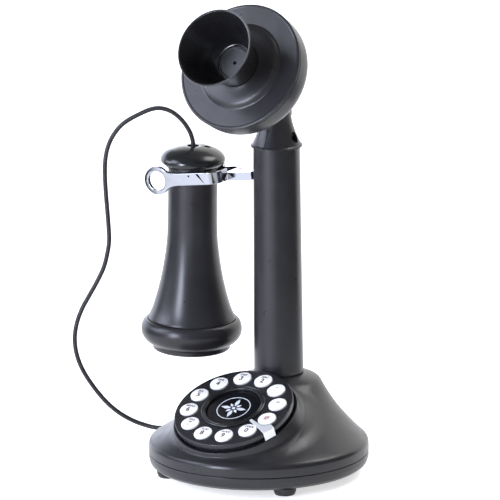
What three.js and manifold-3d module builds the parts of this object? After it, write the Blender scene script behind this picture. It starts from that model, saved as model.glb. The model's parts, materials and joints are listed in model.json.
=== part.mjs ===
// Candlestick desk telephone with a push-button dial, a lift-off receiver and a tilting transmitter.
// Millimetres, +Z up. The front, with the dial, faces -Y. The origin is on the surface it stands on,
// under the middle of the telephone's outline.
import * as THREE from 'three';
import { mergeVertices } from 'three/addons/utils/BufferGeometryUtils.js';
import Module from 'manifold-3d';

const wasm = await Module();
wasm.setup();

// ---- driving dimensions ----
const gap = 0.3;                      // clearance between neighbouring pieces
const broad = 32;                     // sides of the base
const coarse = 24;                    // sides of a large round piece
const medium = 20;
const fine = 12;                      // sides of a small round piece
const tiny = 8;                       // sides of a hidden pillar or screw

const baseX = 14.3;                    // the base is off the origin, because the receiver hangs on one side
const postBack = 27;                  // post axis behind the middle of the base
const baseRadius = 73.5;
const foot = { height: 5.1, radius: 7.7, reach: 61.8, angles: [47, 133, 227, 313] };
const plateBottom = foot.height + gap;
const plateTop = 14.3;                // parting line between bottom plate and shell
const wall = 2.6;
const crownTop = 62.3;                // where the post stands
const postFoot = crownTop + gap;
const postTop = 217.2;
const postRadius = { foot: 16.5, top: 15.6 };
const postBore = 13.2;
const spigotBore = 10.5;

const dial = { forward: 32.2, height: 51.3, normalElevation: 65.8, radius: 40.5, skirt: 3.7 };
const podTop = -6.0;                  // top of the dial pod, below the number plate's face
const podRadius = { top: 42.2, bottom: 48 };
const podLedge = { inner: 34, outer: 41, top: -9.7 };  // carries the number plate's lip and the keypad board
const keyCircle = 30.8;
const keyRadius = 6.2;
const keyCrown = { edge: 0.75, middle: 1.5 };  // height above the number plate's face
const keyTravel = 1.5;
const keyNames = ['1', '2', '3', '4', '5', '6', '7', '8', '9', '0', 'hash', 'star'];
const firstKeyAngle = 46.7;           // degrees from the dial's right, turning anticlockwise
const stopAngle = -28.7;

const tilt = { height: 253.3, elevation: 30.6, reach: 53.4 };
const earHalfGap = 3.4;
const earOuter = 8.4;
const earRadius = 6.5;
const tiltPin = { radius: 1.9, half: 8 };

const hook = {
  pivotHeight: 199, droop: 8, tineHalfGap: 17.3, strip: 2.6, bottom: -3.1, top: 5.1, yoke: 37, eye: 82.5, step: 22,
};
const hookArm = { half: 4.6, bottom: -3.6, top: 2, end: 17.4 };    // the flat bar outside the post
const eyeRadius = { outer: 9.7, inner: 6.4 };

const receiver = { reach: 65.4, height: 200, lean: 1.3 };
const cordRadius = 1.5;
const grommetAngle = 172.6;           // round the base, from +X
const grommetHeight = 18.2;
const neckScrew = { y: 0.8, z: 224.6, recess: 3.6 };
const baseScrew = { reach: 56, angles: [20, 160, 200, 340] };

// ---- geometry helpers ----
const rad = THREE.MathUtils.degToRad;

function solid(geometry) {
  const bare = geometry.index ? geometry.toNonIndexed() : geometry.clone();
  bare.deleteAttribute('normal');
  bare.deleteAttribute('uv');
  const merged = mergeVertices(bare, 1e-4);
  return new wasm.Manifold(new wasm.Mesh({
    numProp: 3,
    vertProperties: new Float32Array(merged.attributes.position.array),
    triVerts: new Uint32Array(merged.index.array),
  }));
}

function geometryOf(body) {
  const mesh = body.getMesh();
  const geometry = new THREE.BufferGeometry();
  const positions = new Float32Array(mesh.numVert * 3);
  for (let i = 0; i < mesh.numVert; i += 1) {
    for (let k = 0; k < 3; k += 1) positions[i * 3 + k] = mesh.vertProperties[i * mesh.numProp + k];
  }
  geometry.setAttribute('position', new THREE.BufferAttribute(positions, 3));
  geometry.setIndex(new THREE.BufferAttribute(new Uint32Array(mesh.triVerts), 1));
  geometry.computeVertexNormals();
  return geometry;
}

// A profile of [radius, height] points turned round Z: outer side rising, inner side falling.
function turned(profile, sides, closed = false) {
  const points = profile.map(([r, z]) => new THREE.Vector2(r, z));
  if (closed) points.push(points[0].clone());
  return new THREE.LatheGeometry(points, sides).rotateX(Math.PI / 2);
}

function ring(profile, sides) {
  return turned(profile, sides, true);
}

function rod(radius, z0, z1, sides = fine) {
  return turned([[0, z0], [radius, z0], [radius, z1], [0, z1]], sides);
}

function tube(outer, inner, z0, z1, sides = fine) {
  return ring([[inner, z0], [outer, z0], [outer, z1], [inner, z1]], sides);
}

function box(x0, x1, y0, y1, z0, z1) {
  const geometry = new THREE.BoxGeometry(x1 - x0, y1 - y0, z1 - z0);
  return geometry.translate((x0 + x1) / 2, (y0 + y1) / 2, (z0 + z1) / 2);
}

// A rod along X or Y, between two stations of that axis.
function crossRod(axis, radius, from, to, sides = fine) {
  const geometry = rod(radius, from, to, sides);
  return axis === 'x' ? geometry.rotateY(Math.PI / 2) : geometry.rotateX(-Math.PI / 2);
}

// A closed stack of circles, each { z, r, y }, joined side to side.
function stackedCircles(stations, sides) {
  const positions = [];
  const index = [];
  for (const { z, r, y } of stations) {
    for (let i = 0; i < sides; i += 1) {
      const angle = (i / sides) * Math.PI * 2;
      positions.push(r * Math.cos(angle), y + r * Math.sin(angle), z);
    }
  }
  for (let j = 0; j + 1 < stations.length; j += 1) {
    for (let i = 0; i < sides; i += 1) {
      const a = j * sides + i;
      const b = j * sides + ((i + 1) % sides);
      index.push(a, b, b + sides, a, b + sides, a + sides);
    }
  }
  for (const [ringIndex, up] of [[0, false], [stations.length - 1, true]]) {
    const { z, y } = stations[ringIndex];
    const centre = positions.length / 3;
    positions.push(0, y, z);
    for (let i = 0; i < sides; i += 1) {
      const a = ringIndex * sides + i;
      const b = ringIndex * sides + ((i + 1) % sides);
      index.push(centre, up ? a : b, up ? b : a);
    }
  }
  const geometry = new THREE.BufferGeometry();
  geometry.setAttribute('position', new THREE.Float32BufferAttribute(positions, 3));
  geometry.setIndex(index);
  return geometry;
}

function cut(body, ...tools) {
  return tools.reduce((result, tool) => result.subtract(solid(tool)), body);
}

function join(...pieces) {
  return pieces.map(solid).reduce((result, piece) => result.add(piece));
}

// ---- materials ----
function finish(color, roughness, metalness = 0) {
  return () => new THREE.MeshStandardMaterial({ color, roughness, metalness });
}

const satinBlack = finish(0x2b2c30, 0.42);
const glossBlack = finish(0x151518, 0.2);
const dialBlack = finish(0x1c1c20, 0.35);
const chrome = finish(0xe4e5ee, 0.12, 1);
const steel = finish(0xa9abb0, 0.35, 1);
const whiteKey = finish(0xf6f5f3, 0.35);
const rubber = finish(0x101012, 0.8);
const board = finish(0x1d4a2c, 0.5);
const paleRubber = finish(0xb9bcc0, 0.7);
const braid = finish(0x1a1a1e, 0.85);

const phone = new THREE.Group();
const baseFrame = new THREE.Group();
baseFrame.position.set(baseX, 0, 0);
phone.add(baseFrame);
const postFrame = new THREE.Group();
postFrame.position.set(baseX, postBack, 0);
phone.add(postFrame);

function add(parent, name, shape, material) {
  const geometry = shape.isBufferGeometry ? shape : geometryOf(shape);
  const mesh = new THREE.Mesh(geometry, material());
  mesh.name = name;
  parent.add(mesh);
  return mesh;
}

// ---- base: flared shell with a tilted pod for the dial ----
const dialTurn = rad(90 - dial.normalElevation);    // leans the dial's normal forward

function inDialFrame(geometry) {
  return geometry.rotateX(dialTurn).translate(0, -dial.forward, dial.height);
}

const shellStations = [
  { z: plateTop + gap, r: 73.3, y: 0 },
  { z: 17, r: baseRadius, y: 0 },
  { z: 20, r: baseRadius, y: 0 },
  { z: 22.5, r: 72.3, y: 0 },
  { z: 24.6, r: 69.8, y: 0.6 },
  { z: 28, r: 64.6, y: 3.2 },
  { z: 31.4, r: 59.4, y: 6 },
  { z: 38.3, r: 49.3, y: 12 },
  { z: 43.9, r: 41.9, y: 17 },
  { z: 50.1, r: 34.8, y: 22 },
  { z: 55.3, r: 30.2, y: 25 },
  { z: 58.3, r: 27.2, y: 26.6 },
  { z: 60.2, r: 22.5, y: postBack },
  { z: crownTop, r: 17.6, y: postBack },
];

const screwPlaces = baseScrew.angles.map((angle) => (
  [baseScrew.reach * Math.cos(rad(angle)), baseScrew.reach * Math.sin(rad(angle))]
));

const jack = { half: 7, front: 71.8, back: 57, bottom: 10.6, top: 21.2 };
const jackHole = { half: 4.9, bottom: 12.6, top: 19.2, depth: 11 };

function grommetFrame(geometry) {
  return geometry.rotateY(Math.PI / 2).rotateZ(rad(grommetAngle));
}

function baseShell() {
  const crownInside = 58.2;
  const stations = shellStations.filter(({ z }, i) => i % 2 === 0 && z < crownInside);
  const inner = stations.map(({ z, r, y }) => ({ z: z - wall, r: r - wall, y }));
  inner[0].z = 5;
  inner.push({ z: crownInside, r: 20.5, y: postBack });
  const pod = turned([[0, -30], [podRadius.bottom, -30], [podRadius.top, podTop], [0, podTop]], broad);
  const skin = join(stackedCircles(shellStations, broad), inDialFrame(pod));
  const podInner = turned([[0, -45], [46, -45], [39.2, -11.7], [0, -11.7]], coarse);
  const hollow = join(stackedCircles(inner, medium), inDialFrame(podInner));
  const below = box(-90, 90, -90, 90, -40, plateTop + gap);
  let body = cut(skin.subtract(hollow), below);
  body = cut(
    body,
    inDialFrame(rod(podLedge.outer, podLedge.top, 20, broad)),
    inDialFrame(rod(podLedge.inner, -16, 20, coarse)),
    rod(13.6, 40, 80, medium).translate(0, postBack, 0),
    box(-jack.half - gap, jack.half + gap, 55, 80, 0, jack.top + gap),
    grommetFrame(rod(2.6, 60, 90)).translate(0, 0, grommetHeight),
  );
  for (const [x, y] of screwPlaces) {
    const pillar = solid(rod(4, plateTop + gap, 34, tiny).translate(x, y, 0));
    const bore = rod(1.7, 10, 28, tiny).translate(x, y, 0);
    body = cut(body.add(pillar.intersect(skin)), bore);
  }
  return body;
}

function basePlate() {
  const tray = turned([
    [0, plateBottom], [70, plateBottom], [71.8, 6.6], [73, 9.5], [73.3, plateTop], [69.4, plateTop],
    [69.4, 15.6], [67.4, 15.6], [67.4, 8.2], [0, 8.2],
  ], broad);
  let body = solid(tray);
  for (const x of [-33, 33]) {
    for (const y of [-28, 12]) body = body.add(solid(rod(2.6, 7, 23.7, tiny).translate(x, y, 0)));
  }
  body = body.add(solid(box(-5, 5, 58, 66, 7, jack.bottom - gap)));
  body = cut(body, box(-jack.half - gap, jack.half + gap, 55, 80, jack.bottom - gap, 30));
  for (const [x, y] of screwPlaces) {
    body = body.add(solid(rod(4.2, 7, plateTop - 0.1, tiny).translate(x, y, 0)));
    body = cut(body, rod(1.8, 0, 30, tiny).translate(x, y, 0), rod(3.6, 0, 9, tiny).translate(x, y, 0));
  }
  return body;
}

function baseParts() {
  add(baseFrame, 'base_shell', baseShell(), satinBlack);
  add(baseFrame, 'base_plate', basePlate(), satinBlack);
  const { height, radius, reach } = foot;
  foot.angles.forEach((angle, i) => {
    const pad = turned([
      [0, 0], [radius - 1.8, 0], [radius - 0.6, 0.7], [radius - 0.2, 2], [radius, height], [0, height],
    ], medium);
    pad.translate(reach * Math.sin(rad(angle)), -reach * Math.cos(rad(angle)), 0);
    add(baseFrame, `foot_${i + 1}`, pad, rubber);
  });
  screwPlaces.forEach(([x, y], i) => {
    const screw = turned([[0, 6.2], [3.1, 6.2], [3.1, 8.7], [1.4, 8.7], [1.4, 26], [0, 26]], tiny);
    add(baseFrame, `base_screw_${i + 1}`, screw.translate(x, y, 0), steel);
  });
  add(baseFrame, 'ballast_weight', tube(29.5, 5, 8.5, 16.5, medium).translate(0, -8, 0), steel);
  add(baseFrame, 'main_board', box(-37, 37, -32, 16, 24, 25.6), board);
  add(baseFrame, 'sounder', tube(11, 2, 8.5, 15.5, fine).translate(0, -52, 0), glossBlack);
  const socket = join(box(-jack.half, jack.half, jack.back, jack.front, jack.bottom, jack.top));
  const mouth = box(-jackHole.half, jackHole.half, jack.front - jackHole.depth, 80, jackHole.bottom, jackHole.top);
  add(baseFrame, 'line_jack', cut(socket, mouth), dialBlack);
  const grommet = turned([[0, 66], [2.3, 66], [2.3, 73.6], [3.4, 73.8], [3, 75], [0, 75]], fine);
  add(baseFrame, 'cord_grommet', grommetFrame(grommet).translate(0, 0, grommetHeight), rubber);
}

// ---- dial: number plate, twelve keys, centre disc and finger stop ----
function keyAngle(i) {
  return rad(firstKeyAngle + 30 * i);
}

function onKeyCircle(geometry, i) {
  return geometry.translate(keyCircle * Math.cos(keyAngle(i)), keyCircle * Math.sin(keyAngle(i)), 0);
}

function numberPlate() {
  const r = dial.radius;
  const lipBottom = podLedge.top + gap;
  let body = solid(ring([
    [20.4, -2.2], [38.1, -2.2], [38.1, lipBottom], [39.1, lipBottom], [39.1, -dial.skirt], [r, -dial.skirt],
    [r, -1.1], [r - 1.1, 0], [20.4, 0],
  ], broad));
  for (let i = 0; i < keyNames.length; i += 1) body = cut(body, onKeyCircle(rod(keyRadius + 0.35, -4, 4), i));
  return body;
}

function fingerStop() {
  const outline = new THREE.Shape();
  outline.moveTo(22.6, -1.2);
  outline.lineTo(22.6, 0.6);
  outline.lineTo(34.5, 1.2);
  outline.quadraticCurveTo(37.2, 2.2, 37.8, 6.2);
  outline.lineTo(42.1, 5.8);
  outline.lineTo(42.1, -2.6);
  outline.lineTo(36, -1.5);
  outline.closePath();
  const blade = new THREE.ExtrudeGeometry(outline, { depth: 1, bevelEnabled: false, curveSegments: 5 });
  const tab = box(41.1, 42.1, -2.6, 5.8, -5.6, gap + 1);
  const body = join(blade.translate(0, 0, gap), tab);
  return geometryOf(body).rotateZ(rad(stopAngle));
}

function dialParts() {
  const frame = new THREE.Group();
  frame.position.set(0, -dial.forward, dial.height);
  frame.rotation.x = dialTurn;
  baseFrame.add(frame);
  add(frame, 'number_plate', numberPlate(), dialBlack);
  const bezel = ring([
    [18.6, -2.1], [20, -2.1], [20, gap], [21.8, gap], [21.8, 0.9], [21.2, 1.4], [19.4, 1.4], [18.6, 0.8],
  ], coarse);
  add(frame, 'centre_bezel', bezel, dialBlack);
  add(frame, 'centre_disc', rod(18.2, -4.6, -0.8, coarse), glossBlack);
  add(frame, 'finger_stop', fingerStop(), chrome);
  keyNames.forEach((name, i) => {
    const key = turned([
      [0, -4.5], [3.2, -4.5], [3.2, -3.5], [7, -3.5], [7, -2.5], [keyRadius, -2.5], [keyRadius, keyCrown.edge],
      [0, keyCrown.middle],
    ], fine);
    add(frame, `button_${name}`, onKeyCircle(key, i), whiteKey);
  });
  let membrane = solid(rod(36.2, -7.8, -6.9, medium));
  for (let i = 0; i < keyNames.length; i += 1) {
    membrane = membrane.add(solid(onKeyCircle(rod(3.6, -7.5, -4.5 - keyTravel - gap, tiny), i)));
  }
  add(frame, 'keypad_membrane', membrane, paleRubber);
  add(frame, 'keypad_board', rod(36.2, -9.4, -8.1, medium), board);
}

// ---- post: tube with a slot for the hook, and the clamp that holds it to the base ----
function postParts() {
  const wallProfile = [
    [spigotBore, 46], [13.2, 46], [13.2, postFoot], [postRadius.foot, postFoot], [postRadius.foot, 66],
    [postRadius.top, postTop], [postBore, postTop], [postBore, 70], [spigotBore, 70],
  ];
  const slot = box(-20, -10, -2.4, 2.4, 191.6, 203.8);
  add(postFrame, 'post_tube', cut(solid(ring(wallProfile, medium)), slot), satinBlack);
  add(postFrame, 'post_nut', tube(19, 13.6, 52, 57.9, medium), steel);
}

// ---- neck: two mirrored half shells that carry the transmitter's tilt pivot ----
function neckBody() {
  const outside = turned([
    [0, 206], [12.9, 206], [12.9, postTop + gap], [17.3, postTop + gap], [17.3, 218.6], [15.4, 220.6],
    [13, 226], [11, 232], [9.8, 237.5], [9.4, 243], [0, 243],
  ], medium);
  const earShape = new THREE.Shape();
  earShape.absarc(0, tilt.height, earRadius, 0, Math.PI);
  earShape.lineTo(-earRadius, 240);
  earShape.lineTo(earRadius, 240);
  earShape.closePath();
  const ears = new THREE.ExtrudeGeometry(earShape, { depth: earOuter * 2, bevelEnabled: false, curveSegments: 12 });
  ears.translate(0, 0, -earOuter).rotateX(Math.PI / 2).rotateZ(Math.PI / 2);
  let body = join(outside, ears);
  body = cut(
    body,
    rod(7, 200, 238, fine),
    box(-earHalfGap, earHalfGap, -20, 20, 243, 270),
    crossRod('x', tiltPin.radius + gap, -20, 20).translate(0, 0, tilt.height),
    crossRod('x', neckScrew.recess, 9.4, 20).translate(0, neckScrew.y, neckScrew.z),
    crossRod('x', 1.6, -20, 20).translate(0, neckScrew.y, neckScrew.z),
  );
  return body;
}

function neckParts() {
  const body = neckBody();
  const leftSpace = box(-30, -gap / 2, -30, 30, 190, 280);
  const rightSpace = box(gap / 2, 30, -30, 30, 190, 280);
  const largest = (half) => half.decompose().sort((a, b) => b.volume() - a.volume())[0];
  add(postFrame, 'neck_half_left', largest(body.intersect(solid(leftSpace))), satinBlack);
  add(postFrame, 'neck_half_right', largest(body.intersect(solid(rightSpace))), satinBlack);
  const screw = turned([[0, -9], [1.3, -9], [1.3, 9.7], [2.5, 9.7], [2.5, 11.4], [0, 11.4]], fine);
  screw.rotateY(Math.PI / 2).translate(0, neckScrew.y, neckScrew.z);
  add(postFrame, 'neck_screw', screw, steel);
  add(postFrame, 'tilt_pin', crossRod('x', tiltPin.radius, -tiltPin.half, tiltPin.half).translate(0, 0, tilt.height), steel);
}

// ---- transmitter head: its own Z runs out of the mouthpiece, from the tilt pivot ----
function headParts() {
  const frame = new THREE.Group();
  frame.position.set(0, 0, tilt.height);
  frame.rotation.x = rad(90 - tilt.elevation);
  postFrame.add(frame);
  const face = tilt.reach;
  const bowl = turned([
    [0, face - 29.5], [20, face - 29.3], [31, face - 26.4], [38.8, face - 21.5], [42.2, face - 16],
    [43.3, face - 10.5], [43.3, face - 2.9], [41, face - 2.9], [41, face - 9.5], [39.5, face - 15],
    [36, face - 20], [29, face - 24], [20, face - 26.5], [0, face - 26.9],
  ], coarse);
  const tongueShape = new THREE.Shape();
  tongueShape.absarc(0, 0, 8, Math.PI, Math.PI * 2);
  tongueShape.lineTo(8, face - 28);
  tongueShape.lineTo(-8, face - 28);
  tongueShape.closePath();
  const tongueHalf = earHalfGap - gap;
  const tongue = new THREE.ExtrudeGeometry(tongueShape, {
    depth: tongueHalf * 2, bevelEnabled: false, curveSegments: 12,
  });
  tongue.translate(0, 0, -tongueHalf).rotateX(Math.PI / 2).rotateZ(Math.PI / 2);
  add(frame, 'back_cup', cut(join(bowl, tongue), crossRod('x', 2.2, -9, 9)), satinBlack);
  add(frame, 'faceplate', ring([
    [12.4, face - 2.6], [42.9, face - 2.6], [43.6, face - 1.9], [43.6, face - 0.8], [42.8, face],
    [29.6, face], [27.2, face + 2.1], [24, face + 2.9], [19, face + 3.5], [15.8, face + 4.2],
    [15.8, face + 2.3], [12.4, face + 2.3],
  ], coarse), satinBlack);
  add(frame, 'mouthpiece_horn', ring([
    [9.5, face - 5], [12.1, face - 5], [12.1, face + 2.6], [15, face + 2.6], [15, face + 5], [16.4, face + 11],
    [18.9, face + 18.5], [21.8, face + 26], [24.6, face + 33], [26.6, face + 37.8], [25.3, face + 37.8],
    [23.2, face + 33], [20.3, face + 26], [17.3, face + 18.5], [14.4, face + 11], [12.6, face + 8.8],
    [11.9, face + 8.6], [11.9, face + 6.2], [9.5, face + 6.2],
  ], coarse), glossBlack);
  add(frame, 'throat_disc', tube(11.5, 0.9, face + 6.5, face + 8, medium), satinBlack);
  add(frame, 'microphone', rod(14, face - 15, face - 5.6, fine), steel);
}

// ---- hook: chromed fork on a lever that pivots inside the post ----
function hookLever() {
  const half = hook.tineHalfGap;
  const outside = half + hook.strip;
  const near = hook.yoke - hook.strip / 2;
  const far = hook.yoke + hook.strip / 2;
  const tineEnd = hook.eye - 8;
  const bend = 9.2;
  const plan = new THREE.Shape();
  plan.moveTo(-tineEnd, -outside);
  plan.lineTo(-near - bend, -outside);
  plan.absarc(-near - bend, -outside + bend, bend, -Math.PI / 2, 0);
  plan.lineTo(-near, outside - bend);
  plan.absarc(-near - bend, outside - bend, bend, 0, Math.PI / 2);
  plan.lineTo(-tineEnd, outside);
  plan.lineTo(-tineEnd, half);
  const innerBend = bend - hook.strip;
  plan.lineTo(-far - innerBend, half);
  plan.absarc(-far - innerBend, half - innerBend, innerBend, Math.PI / 2, 0, true);
  plan.lineTo(-far, -half + innerBend);
  plan.absarc(-far - innerBend, -half + innerBend, innerBend, 0, -Math.PI / 2, true);
  plan.lineTo(-tineEnd, -half);
  plan.closePath();
  const height = hook.top - hook.bottom;
  const yoke = new THREE.ExtrudeGeometry(plan, { depth: height, bevelEnabled: false, curveSegments: 5 });
  yoke.translate(0, 0, hook.bottom);
  const arm = box(-near - 1, -hookArm.end, -hookArm.half, hookArm.half, hookArm.bottom, hookArm.top);
  const web = box(-hookArm.end - 1, -2, -1.5, 1.5, hookArm.bottom, hookArm.top);
  const hub = crossRod('y', 4.2, -3, 3);
  const tail = box(1, 10.5, -1.5, 1.5, -2, 2);
  let body = join(yoke, arm, web, hub, tail);
  // behind the arm the yoke is no taller than the arm
  body = cut(body, box(-tineEnd + hook.step, 0, -hookArm.half, outside + 1, hookArm.top, hook.top + 1));
  for (const side of [-1, 1]) {
    const inner = Math.min(side * half, side * outside);
    const eye = crossRod('y', eyeRadius.outer, inner, inner + hook.strip, medium);
    body = body.add(solid(eye.translate(-hook.eye, 0, 0.9)));
    const hole = crossRod('y', eyeRadius.inner, inner - 2, inner + hook.strip + 2, medium);
    body = cut(body, hole.translate(-hook.eye, 0, 0.9));
  }
  return cut(body, crossRod('y', 1.8, -9, 9));
}

function hookParts() {
  const frame = new THREE.Group();
  frame.position.set(0, 0, hook.pivotHeight);
  frame.rotation.y = rad(-hook.droop);
  postFrame.add(frame);
  add(frame, 'hook_lever', hookLever(), chrome);
  const height = hook.pivotHeight;
  add(postFrame, 'hook_pin', crossRod('y', 1.5, -12.4, 12.4).translate(0, 0, height), steel);
  const bracket = cut(
    join(box(-9.5, 11, -5.2, 5.2, 185.4, 205)),
    box(-12, 12, -3.6, 3.6, 187, 206),
    crossRod('y', 1.8, -9, 9).translate(0, 0, height),
  );
  add(postFrame, 'hook_bracket', bracket, steel);
  add(postFrame, 'hook_switch', box(5.6, 10.8, -3.2, 3.2, 187.3, 196.4), glossBlack);
  const turns = 3.5;
  const steps = 28;
  const coil = [];
  for (let i = 0; i <= steps; i += 1) {
    const angle = (i / steps) * turns * Math.PI * 2;
    coil.push(new THREE.Vector3(-7 + 1.9 * Math.cos(angle), 1.9 * Math.sin(angle), 187.9 + (i / steps) * 4.2));
  }
  const wire = new THREE.Shape();
  wire.absarc(0, 0, 0.4, 0, Math.PI * 2);
  add(postFrame, 'hook_spring', new THREE.ExtrudeGeometry(wire, {
    steps, curveSegments: 3, extrudePath: new THREE.CatmullRomCurve3(coil),
  }), steel);
}

// ---- receiver: its own Z is its axis, with zero just above the fork ----
function receiverParts() {
  const frame = new THREE.Group();
  frame.position.set(-receiver.reach, 0, receiver.height);
  frame.rotation.y = rad(receiver.lean);
  postFrame.add(frame);
  const cap = ring([
    [16.2, -3.3], [18.3, -3.3], [18.3, -2.1], [19.8, -1.7], [21.3, -0.6], [21.8, 1.1], [21.2, 3], [19, 5.5],
    [15.5, 7.8], [10.5, 9.5], [5, 10.2], [3.85, 10.3], [3.85, 8], [9, 6.8], [13, 4.8], [16.2, 1],
  ], coarse);
  const screwAt = [8.1, 4.9];
  const screwHole = rod(2.3, 7.2, 14, fine).translate(screwAt[0], screwAt[1], 0);
  const screwBore = rod(1.5, 2, 14, fine).translate(screwAt[0], screwAt[1], 0);
  add(frame, 'receiver_cap', cut(solid(cap), screwHole, screwBore), glossBlack);
  const screw = turned([[0, -2], [1.2, -2], [1.2, 7.5], [2, 7.5], [2, 8.6], [0, 8.6]], fine);
  add(frame, 'cap_screw', screw.translate(screwAt[0], screwAt[1], 0), steel);
  const shell = ring([
    [25, -120], [27.5, -120], [27.5, -109.1], [29.5, -108.9], [29.4, -108.2], [27, -103.4], [24.9, -96.3],
    [21.1, -82.5], [18.8, -68.5], [17, -56], [16.6, -48], [16.5, -3.9], [15.8, -3.4], [15.8, 0], [3.2, 0],
    [3.2, -2.5], [13.8, -2.5], [13.8, -50], [16.2, -68.5], [18.5, -82.5], [22.3, -96.3], [25, -105],
  ], coarse);
  const screwWay = rod(1.5, -6, 4, fine).translate(screwAt[0], screwAt[1], 0);
  add(frame, 'receiver_shell', cut(solid(shell), screwWay), satinBlack);
  add(frame, 'ear_cap', ring([
    [5.5, -128], [14, -128.7], [23.6, -130], [25.4, -129.6], [26, -128], [26.3, -126.2], [27.6, -125.5],
    [31, -123.2], [33.4, -119.7], [34.1, -115.8], [33.3, -112], [31.4, -109.4], [30, -109],
    [28, -109.9], [28, -120.6], [24.5, -123.6], [5.5, -124.6],
  ], coarse), glossBlack);
  add(frame, 'receiver_speaker', rod(24, -122.8, -112, medium), steel);
  const bush = turned([[0, -2.6], [2.9, -2.6], [2.9, gap], [5, gap], [5, 2.2], [0, 2.2]], fine);
  add(frame, 'receiver_bush', bush, rubber);
}

// ---- cord: hangs free from the receiver's cap to the side of the base ----
// Points are [along the loop, out of the loop's plane, height] from the middle of the base.
const cordTurn = 30.9;
const cordRoute = [
  [-42.1, 56.7, 202.9], [-41.9, 56.7, 208], [-42.2, 56.7, 213.5], [-43.6, 56.7, 218.6], [-46, 56.7, 223.3],
  [-49.3, 56.7, 227.9], [-53.3, 56.7, 231.8], [-57.6, 56.7, 234.5], [-62.4, 56.7, 236], [-67.2, 56.7, 236.1],
  [-72.5, 56.7, 234.6], [-78.2, 56.7, 232], [-84.6, 56.7, 228.6], [-90, 56.7, 224.6], [-94.5, 56.7, 219.2],
  [-97.8, 56.7, 213.2], [-100, 56.7, 206.5], [-101.1, 56.7, 199], [-101.3, 56.7, 189], [-100.8, 56.7, 177],
  [-100, 56.7, 165], [-99.3, 56.7, 153], [-99.2, 56.7, 145], [-100.4, 56.7, 137], [-103, 56.7, 127],
  [-107.6, 56.7, 117.2], [-113, 56.7, 107.5], [-118.2, 56.7, 98], [-121.8, 56.7, 88], [-123.3, 56.7, 77.5],
  [-122.2, 56.7, 67], [-118.6, 56.7, 56.5], [-112.2, 56.7, 45.5], [-104, 56.5, 34.8], [-95.5, 56.2, 26.8],
  [-86, 56, 20.8], [-76.8, 55.4, 17.2], [-69.5, 53.4, 15.9], [-64.2, 50.7, 16.6], [-59.8, 47.1, 18.2],
];

function receiverCord() {
  const along = new THREE.Vector3(Math.cos(rad(cordTurn)), Math.sin(rad(cordTurn)), 0);
  const away = new THREE.Vector3(-along.y, along.x, 0);
  const points = cordRoute.map(([u, w, z]) => {
    const point = new THREE.Vector3(0, 0, z);
    return point.addScaledVector(along, u).addScaledVector(away, w);
  });
  const section = new THREE.Shape();
  section.absarc(0, 0, cordRadius, 0, Math.PI * 2);
  return new THREE.ExtrudeGeometry(section, {
    steps: 54, curveSegments: 4, extrudePath: new THREE.CatmullRomCurve3(points),
  });
}

baseParts();
dialParts();
postParts();
neckParts();
headParts();
hookParts();
receiverParts();
add(baseFrame, 'receiver_cord', receiverCord(), braid);

export default phone;
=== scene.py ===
import json
import math

import bpy
import numpy as np
from mathutils import Matrix, Vector
from mathutils.geometry import tessellate_polygon


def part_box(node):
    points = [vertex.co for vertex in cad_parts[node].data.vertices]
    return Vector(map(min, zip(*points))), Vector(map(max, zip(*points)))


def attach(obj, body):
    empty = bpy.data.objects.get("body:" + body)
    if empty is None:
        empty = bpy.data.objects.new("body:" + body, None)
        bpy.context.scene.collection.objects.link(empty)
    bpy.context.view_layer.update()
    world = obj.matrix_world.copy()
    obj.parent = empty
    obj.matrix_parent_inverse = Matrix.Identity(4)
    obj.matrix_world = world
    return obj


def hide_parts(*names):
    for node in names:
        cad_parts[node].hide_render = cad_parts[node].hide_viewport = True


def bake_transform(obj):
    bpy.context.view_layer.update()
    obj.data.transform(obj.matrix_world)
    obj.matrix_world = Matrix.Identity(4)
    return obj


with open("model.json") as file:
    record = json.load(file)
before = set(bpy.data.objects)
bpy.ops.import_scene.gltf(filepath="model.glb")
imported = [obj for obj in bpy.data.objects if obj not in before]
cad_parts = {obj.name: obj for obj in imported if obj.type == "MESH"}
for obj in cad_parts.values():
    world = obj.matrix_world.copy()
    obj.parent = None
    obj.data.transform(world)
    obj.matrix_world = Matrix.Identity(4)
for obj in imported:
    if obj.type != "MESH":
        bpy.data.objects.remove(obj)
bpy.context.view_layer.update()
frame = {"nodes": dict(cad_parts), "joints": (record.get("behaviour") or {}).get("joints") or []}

# A candlestick telephone with a push-button dial. Profiles are in millimetres, in each sub-assembly's
# own frame, and a frame's matrix carries them to metres in the row frame.
MM = 0.001
SOFT = 1e4                      # a corner so soft that it takes up half of each neighbouring side
rad = math.radians


# ---- the sub-assemblies' frames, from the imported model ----
def middle(node):
    low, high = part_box(node)
    return (Vector(low) + Vector(high)) / 2


def placed(origin, turn=0.0, axis="X"):
    return Matrix.Translation(origin) @ Matrix.Rotation(turn, 4, axis) @ Matrix.Scale(MM, 4)


joints = {joint["name"]: joint for joint in frame["joints"]}
base_x = middle("base_plate").x
post_y = middle("post_nut").y
hook_pivot = Vector(joints["hook_switch_lever"]["pos_m"])
tilt_pivot = Vector(joints["transmitter_tilt"]["pos_m"])
dial_normal = -Vector(joints["key_1_press"]["axis"]).normalized()
dial_tilt = math.atan2(-dial_normal.y, dial_normal.z)
head_axis = (middle("throat_disc") - tilt_pivot).normalized()
ear_axis = (middle("receiver_bush") - middle("receiver_speaker")).normalized()
HOOK_DROOP = rad(8)
DISC_DEPTH = 2.7                # middle of the centre disc below the dial's face
BUSH_DEPTH = 0.2                # middle of the cord bush below the top of the receiver's shell

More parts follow.
